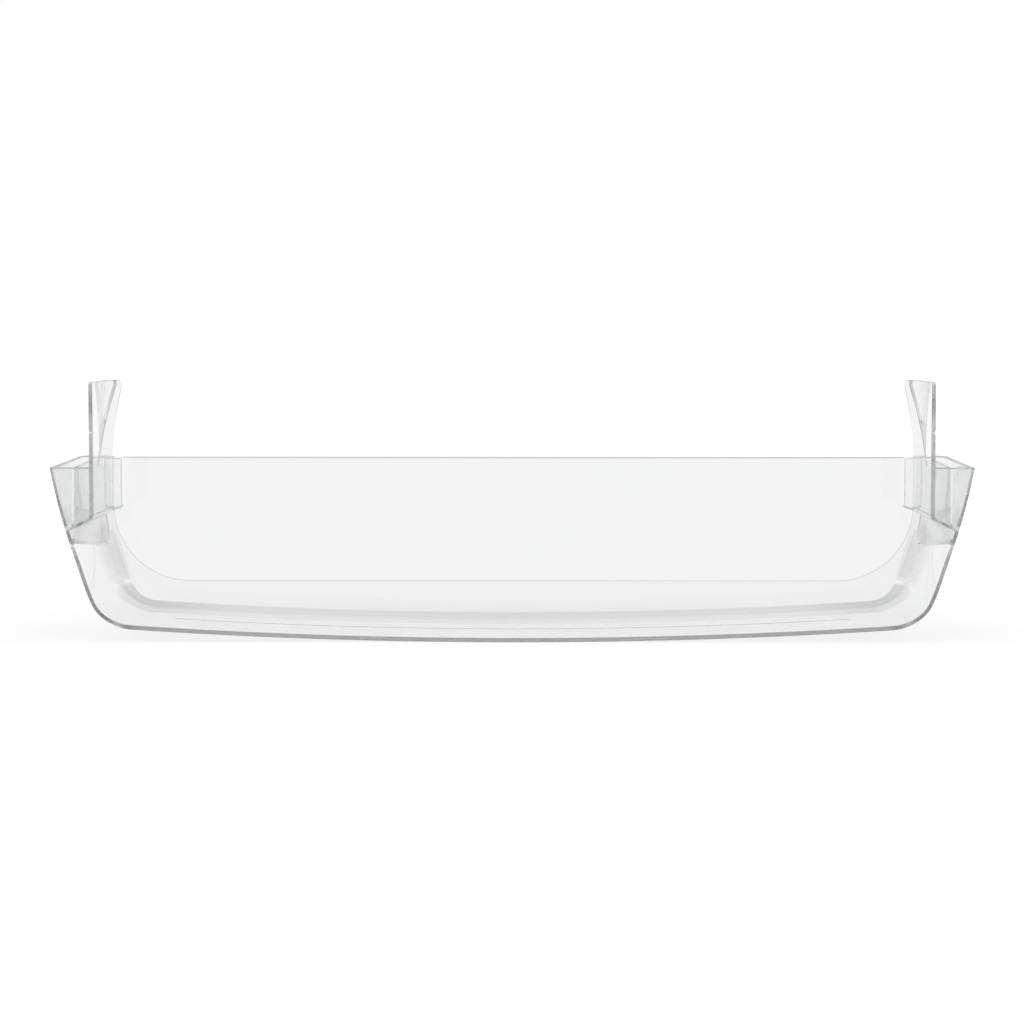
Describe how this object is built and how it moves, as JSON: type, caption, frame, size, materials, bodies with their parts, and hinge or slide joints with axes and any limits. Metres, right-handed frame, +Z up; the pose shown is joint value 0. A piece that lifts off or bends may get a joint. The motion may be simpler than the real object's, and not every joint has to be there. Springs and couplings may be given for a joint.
{
  "type": "refrigerator door shelf",
  "caption": "Clear moulded door shelf with a crowned floor, a high front panel, bowed ends with blade pockets, and ears that hook it into a refrigerator door",
  "frame": {"origin": "middle of the footprint, at the lowest point of the crowned floor", "axes": "+X along the shelf, +Y from the open door side to the front panel, +Z up"},
  "size_m": [0.48, 0.1, 0.1354],
  "materials": {
    "clear_plastic": "clear, polished, very slightly cool grey in thick sections"
  },
  "bodies": {
    "root": {"door_shelf": "clear_plastic"}
  },
  "joints": []
}
